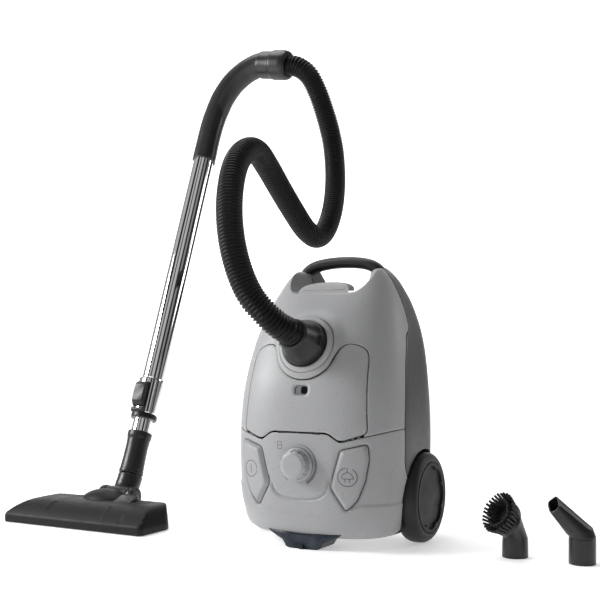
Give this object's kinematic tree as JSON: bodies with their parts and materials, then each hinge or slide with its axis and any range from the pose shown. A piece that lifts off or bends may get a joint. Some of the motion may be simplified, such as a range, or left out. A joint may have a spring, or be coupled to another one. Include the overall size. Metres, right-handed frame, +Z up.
{
  "type": "canister vacuum cleaner",
  "caption": "Bagged canister vacuum cleaner parked upright on side wheels and a foot, with a hinged lid, corrugated hose, telescopic wand, floor nozzle and loose brush and crevice tools.",
  "frame": {"origin": "on the floor, in the middle of the flat underside of the parking foot", "axes": "+Z up, the front with the controls faces -Y, +X is on the right of a viewer who faces the front; the wand and floor nozzle stand at -X and the loose tools at +X"},
  "size_m": [0.9195, 0.5501, 0.8474],
  "materials": {
    "grey_plastic": "fine-grained, lightly speckled",
    "dark_plastic": "fine-grained",
    "black_plastic": "satin",
    "navy_plastic": "satin",
    "tyre": "matt",
    "rubber": "matt",
    "chrome": "polished",
    "steel": "satin",
    "paper": "fibrous",
    "card": "plain",
    "board": "satin",
    "window": "glossy",
    "bristles": "brushed"
  },
  "bodies": {
    "housing": {"rear_shell": "dark_plastic", "front_housing": "grey_plastic", "console_panel": "grey_plastic", "carry_handle": "black_plastic", "parking_foot": "navy_plastic", "power_switch": "black_plastic", "circuit_board": "board", "wheel_axles": "steel", "motor_housing": "dark_plastic", "motor_mount": "rubber", "reel_axle": "steel", "cord_outlet": "black_plastic", "dust_bag": "paper", "bag_plate": "card", "motor_filter": "paper", "exhaust_filter": "paper", "exhaust_grille": "black_plastic", "housing_screws": "steel", "lid_hinge_pin": "steel", "nozzle_cover": "dark_plastic", "nozzle_base": "steel", "neck_pin": "steel", "hose": "black_plastic"},
    "lid": {"lid": "grey_plastic", "lid_panel": "grey_plastic", "lid_seal": "rubber", "inlet_collar": "grey_plastic", "bag_indicator": "window", "latch_spring": "steel"},
    "connector": {"connector": "dark_plastic"},
    "left_clip": {"left_clip": "dark_plastic"},
    "right_clip": {"right_clip": "dark_plastic"},
    "lid_latch": {"lid_latch": "grey_plastic"},
    "power_button": {"power_button": "grey_plastic"},
    "rewind_button": {"rewind_button": "grey_plastic"},
    "speed_knob": {"speed_knob": "grey_plastic"},
    "left_wheel": {"left_tyre": "tyre", "left_hub": "dark_plastic"},
    "right_wheel": {"right_tyre": "tyre", "right_hub": "dark_plastic"},
    "castor": {"castor_fork": "dark_plastic", "castor_axle": "steel"},
    "castor_wheel": {"castor_wheel": "black_plastic"},
    "motor_rotor": {"motor_rotor": "steel"},
    "cable_reel": {"cable_reel": "dark_plastic"},
    "neck": {"neck_lower": "dark_plastic"},
    "wand": {"neck_upper": "dark_plastic", "lower_tube": "chrome"},
    "handle": {"upper_tube": "chrome", "telescope_sleeve": "chrome", "handle_tube": "dark_plastic", "handle_grip": "black_plastic"},
    "telescope_button": {"telescope_button": "black_plastic"},
    "air_slide": {"air_slide": "black_plastic"},
    "hose_cuff": {"hose_cuff": "dark_plastic"},
    "pedal": {"nozzle_pedal": "dark_plastic"},
    "brush_strip": {"brush_strip": "bristles"},
    "nozzle_rollers": {"nozzle_rollers": "tyre"},
    "dusting_brush": {"dusting_brush": "dark_plastic"},
    "crevice_nozzle": {"crevice_nozzle": "dark_plastic"}
  },
  "joints": [
    {"name": "lid_hinge", "type": "hinge", "parent": "housing", "child": "lid", "pos_m": [0, -0.0426, 0.164], "axis": [1, 0, 0], "range_deg": [0, 62]},
    {"name": "connector_turn", "type": "hinge", "parent": "lid", "child": "connector", "pos_m": [0, -0.017, 0.286], "axis": [0, -0.9397, 0.342], "continuous": true},
    {"name": "left_clip_press", "type": "slide", "parent": "connector", "child": "left_clip", "axis": [1, 0, 0], "range_m": [0, 0.0018], "stiffness_N_per_m": 1500},
    {"name": "right_clip_press", "type": "slide", "parent": "connector", "child": "right_clip", "axis": [-1, 0, 0], "range_m": [0, 0.0018], "stiffness_N_per_m": 1500},
    {"name": "lid_latch_press", "type": "slide", "parent": "lid", "child": "lid_latch", "axis": [0, 1, 0], "range_m": [0, 0.004], "stiffness_N_per_m": 800},
    {"name": "power_button_press", "type": "slide", "parent": "housing", "child": "power_button", "axis": [0, 1, 0], "range_m": [0, 0.003], "stiffness_N_per_m": 600},
    {"name": "rewind_button_press", "type": "slide", "parent": "housing", "child": "rewind_button", "axis": [0, 1, 0], "range_m": [0, 0.003], "stiffness_N_per_m": 600},
    {"name": "speed_knob_turn", "type": "hinge", "parent": "housing", "child": "speed_knob", "pos_m": [0, -0.05, 0.12], "axis": [0, -1, 0], "range_deg": [0, 270]},
    {"name": "left_wheel_spin", "type": "hinge", "parent": "housing", "child": "left_wheel", "pos_m": [-0.12, 0.097, 0.066], "axis": [1, 0, 0], "continuous": true},
    {"name": "right_wheel_spin", "type": "hinge", "parent": "housing", "child": "right_wheel", "pos_m": [0.12, 0.097, 0.066], "axis": [1, 0, 0], "continuous": true},
    {"name": "castor_swivel", "type": "hinge", "parent": "housing", "child": "castor", "pos_m": [0, 0.128, 0.3], "axis": [0, 1, 0], "continuous": true},
    {"name": "castor_wheel_spin", "type": "hinge", "parent": "castor", "child": "castor_wheel", "pos_m": [0, 0.151, 0.292], "axis": [1, 0, 0], "continuous": true},
    {"name": "motor_spin", "type": "hinge", "parent": "housing", "child": "motor_rotor", "pos_m": [0.042, 0.062, 0.08], "axis": [0, 0, 1], "continuous": true},
    {"name": "reel_spin", "type": "hinge", "parent": "housing", "child": "cable_reel", "pos_m": [-0.057, 0.064, 0.08], "axis": [0, 0, 1], "continuous": true},
    {"name": "neck_tilt", "type": "hinge", "parent": "housing", "child": "neck", "pos_m": [-0.393, 0.048, 0.036], "axis": [-1, 0, 0], "range_deg": [-21, 55], "deforming": ["hose"]},
    {"name": "neck_turn", "type": "hinge", "parent": "neck", "child": "wand", "pos_m": [-0.393, 0.066, 0.038], "axis": [0, 0.3584, 0.9336], "range_deg": [-60, 60]},
    {"name": "telescope", "type": "slide", "parent": "wand", "child": "handle", "axis": [0, 0.3584, 0.9336], "range_m": [0, 0.3]},
    {"name": "telescope_button_press", "type": "slide", "parent": "handle", "child": "telescope_button", "axis": [0, 0.3584, 0.9336], "range_m": [0, 0.008], "stiffness_N_per_m": 400},
    {"name": "air_slide_move", "type": "slide", "parent": "handle", "child": "air_slide", "axis": [0, 0.3584, 0.9336], "range_m": [0, 0.008]},
    {"name": "cuff_turn", "type": "hinge", "parent": "handle", "child": "hose_cuff", "pos_m": [-0.314, 0.3678, 0.824], "axis": [0.9903, 0.0031, -0.1393], "continuous": true},
    {"name": "pedal_tilt", "type": "hinge", "parent": "housing", "child": "pedal", "pos_m": [-0.339, 0.007, 0.042], "axis": [1, 0, 0], "range_deg": [0, 8]},
    {"name": "brush_lift", "type": "slide", "parent": "housing", "child": "brush_strip", "axis": [0, 0, 1], "range_m": [0, 0.0041]},
    {"name": "roller_spin", "type": "hinge", "parent": "housing", "child": "nozzle_rollers", "pos_m": [-0.393, 0.002, 0.008], "axis": [1, 0, 0], "continuous": true},
    {"name": "dusting_brush_lift", "type": "slide", "parent": "housing", "child": "dusting_brush", "axis": [0, 0, 1], "range_m": [0, 0.08]},
    {"name": "crevice_nozzle_lift", "type": "slide", "parent": "housing", "child": "crevice_nozzle", "axis": [0, 0, 1], "range_m": [0, 0.08]}
  ],
  "couplings": [
    {"joint": "brush_lift", "follows": "pedal_tilt", "m_per_rad": 0.0286}
  ]
}
